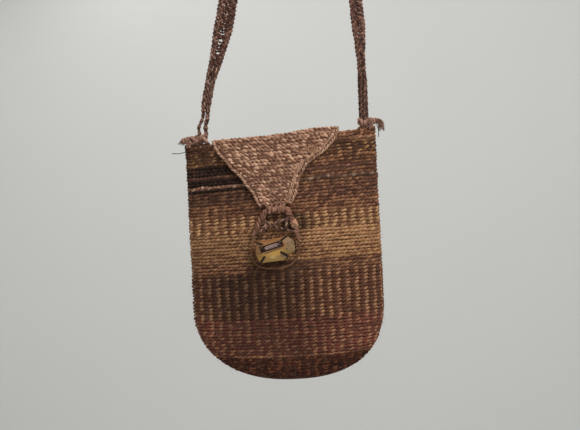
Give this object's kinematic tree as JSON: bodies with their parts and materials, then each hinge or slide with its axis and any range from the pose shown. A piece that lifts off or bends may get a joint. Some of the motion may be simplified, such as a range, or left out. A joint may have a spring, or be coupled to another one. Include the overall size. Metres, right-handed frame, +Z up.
{
  "type": "handbag",
  "caption": "Small hand-twined fibre shoulder bag with a triangular flap that closes by a yarn loop over a carved two-hole button.",
  "frame": {"origin": "hang point: the underside of the strap at its highest place, where the bag hangs on a hook or peg", "axes": "+Z up, the flap and button face -Y, +X is the viewer's right"},
  "size_m": [0.2313, 0.0485, 0.7338],
  "materials": {
    "rose": "rose-brown twisted plant fibre",
    "dark": "dark brown twined plant fibre with tan and red-brown bands",
    "tan": "tan twined plant fibre",
    "pale": "pale twisted plant fibre",
    "navy_thread": "thin navy thread",
    "grey_cord": "grey-pink sewing cord",
    "carved_button": "carved, rubbed ochre facets"
  },
  "bodies": {
    "strap": {"strap_band": "rose", "strap_neck_left": "rose", "tail_strand_left_outer": "rose", "tail_strand_left_inner": "rose", "tail_cord_right": "rose", "strap_knot_left": "pale", "strap_knot_right": "rose", "tassel_left": "rose", "tassel_right": "dark", "loose_thread_right": "navy_thread"},
    "pouch": {"pouch": "dark", "mouth_edging": "pale", "ear_left": "tan", "ear_right": "tan", "flap_root_cord": "tan", "button_anchor": "grey_cord", "loose_thread_left": "navy_thread"},
    "flap_fold": {"flap_fold": "tan"},
    "flap": {"flap_panel": "tan", "flap_edging_left": "pale", "flap_edging_right": "pale", "flap_tip_whipping": "pale"},
    "loop": {"button_loop": "rose", "loop_knot": "pale", "loop_cross_strand": "rose"},
    "button": {"button_block": "carved_button", "button_cord": "grey_cord", "lashing_upper_left": "grey_cord", "lashing_lower_left": "grey_cord", "lashing_upper_right": "grey_cord", "lashing_lower_right": "grey_cord"}
  },
  "joints": [
    {"name": "pouch_swing", "type": "hinge", "parent": "strap", "child": "pouch", "pos_m": [-0.03041, -0.003, -0.46391], "axis": [0.9986, 0, 0.0536], "range_deg": [-90, 90]},
    {"name": "flap_turn_up", "type": "hinge", "parent": "pouch", "child": "flap_fold", "pos_m": [-0.0301, 0.0113, -0.4698], "axis": [-0.9986, 0, -0.0536], "range_deg": [0, 140]},
    {"name": "flap_unfold", "type": "hinge", "parent": "flap_fold", "child": "flap", "pos_m": [-0.03024, -0.0105, -0.46721], "axis": [-0.9986, 0, -0.0536], "range_deg": [0, 90]},
    {"name": "loop_lift", "type": "hinge", "parent": "flap", "child": "loop", "pos_m": [-0.03747, -0.02025, -0.54701], "axis": [-0.9986, 0, -0.0536], "range_deg": [0, 140]},
    {"name": "button_spin", "type": "hinge", "parent": "pouch", "child": "button", "pos_m": [-0.04419, -0.02352, -0.58449], "axis": [0, -1, 0], "range_deg": [-40, 40]}
  ]
}
